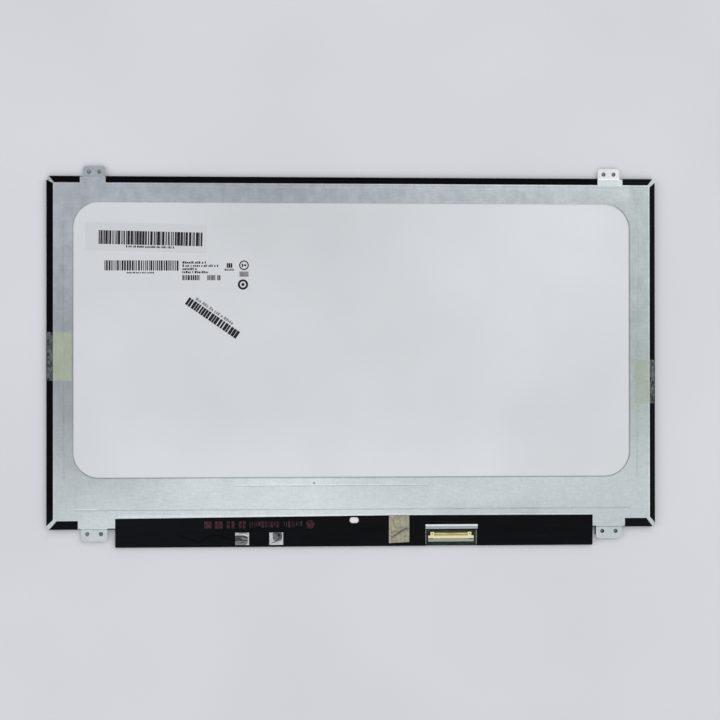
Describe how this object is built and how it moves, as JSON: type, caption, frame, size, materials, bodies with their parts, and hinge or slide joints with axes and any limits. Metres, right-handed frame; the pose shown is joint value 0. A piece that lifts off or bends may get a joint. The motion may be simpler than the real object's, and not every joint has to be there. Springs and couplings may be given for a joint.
{
  "type": "laptop screen panel",
  "caption": "Slim liquid crystal panel for a laptop lid, lying on its screen, with a steel back plate round a white reflector, black edge tapes, screw ears and a taped control board.",
  "frame": {"origin": "under the middle of the whole panel, on the face of the screen, which faces down", "axes": "+X along the panel's length, +Y from the board side to the top side, +Z from the screen to the back"},
  "size_m": [0.3594, 0.2238, 0.0032],
  "materials": {
    "polarizer_film": "dark, low-gloss film",
    "display_glass": "thin display glass",
    "black_tape": "matt black polyester tape",
    "prism_film": "finely grooved clear film",
    "diffuser_film": "milky film",
    "clear_acrylic": "clear acrylic with printed dots",
    "white_reflector": "white reflector film, satin",
    "white_circuit_film": "white coated circuit film",
    "emitter_resin": "white resin with a yellow lens",
    "white_frame_plastic": "white moulded polycarbonate",
    "zinc_coated_steel": "zinc-coated sheet steel, rolled",
    "black_cover_film": "matt black insulating film",
    "yellow_green_tape": "thin translucent tape",
    "khaki_tape": "creased translucent tape",
    "silver_foil": "crinkled foil tape",
    "label_film": "printed film label",
    "clear_label_film": "clear printed label",
    "amber_circuit_film": "amber polyimide with copper lines",
    "chip_silicon": "bare driver chip",
    "green_board": "dark green solder mask",
    "chip_resin": "black moulding resin",
    "ferrite": "sintered ferrite",
    "ceramic_body": "small ceramic pieces with tinned ends",
    "gold_plating": "gold flash",
    "cream_resin": "cream liquid crystal polymer",
    "socket_steel": "stamped stainless steel"
  },
  "bodies": {
    "root": {"front_polarizer": "polarizer_film", "colour_glass": "display_glass", "tft_glass": "display_glass", "rear_polarizer": "polarizer_film", "rim_tape": "black_tape", "upper_prism_sheet": "prism_film", "lower_prism_sheet": "prism_film", "diffuser_sheet": "diffuser_film", "light_guide": "clear_acrylic", "reflector_sheet": "white_reflector", "light_bar": "white_circuit_film", "light_emitters": "emitter_resin", "mid_frame": "white_frame_plastic", "back_plate": "zinc_coated_steel", "edge_tape_top": "black_tape", "edge_tape_left": "black_tape", "edge_tape_right": "black_tape", "driver_tape": "black_tape", "board_cover_tape": "black_cover_film", "side_tape_left": "yellow_green_tape", "side_tape_right": "yellow_green_tape", "cover_patch": "khaki_tape", "foil_pad_left": "silver_foil", "foil_pad_right": "silver_foil", "label_large": "label_film", "label_middle": "label_film", "label_slanted": "clear_label_film", "driver_film_1": "amber_circuit_film", "driver_film_2": "amber_circuit_film", "driver_film_3": "amber_circuit_film", "driver_film_4": "amber_circuit_film", "driver_chip_1": "chip_silicon", "driver_chip_2": "chip_silicon", "driver_chip_3": "chip_silicon", "driver_chip_4": "chip_silicon", "control_board": "green_board", "timing_chip": "chip_resin", "power_chip": "chip_resin", "backlight_chip": "chip_resin", "memory_chip": "chip_resin", "inductor_left": "ferrite", "inductor_right": "ferrite", "board_capacitors": "ceramic_body", "ground_pads": "gold_plating", "light_bar_socket": "cream_resin", "socket_housing": "cream_resin", "socket_shell": "socket_steel", "socket_contacts": "gold_plating"}
  },
  "joints": []
}
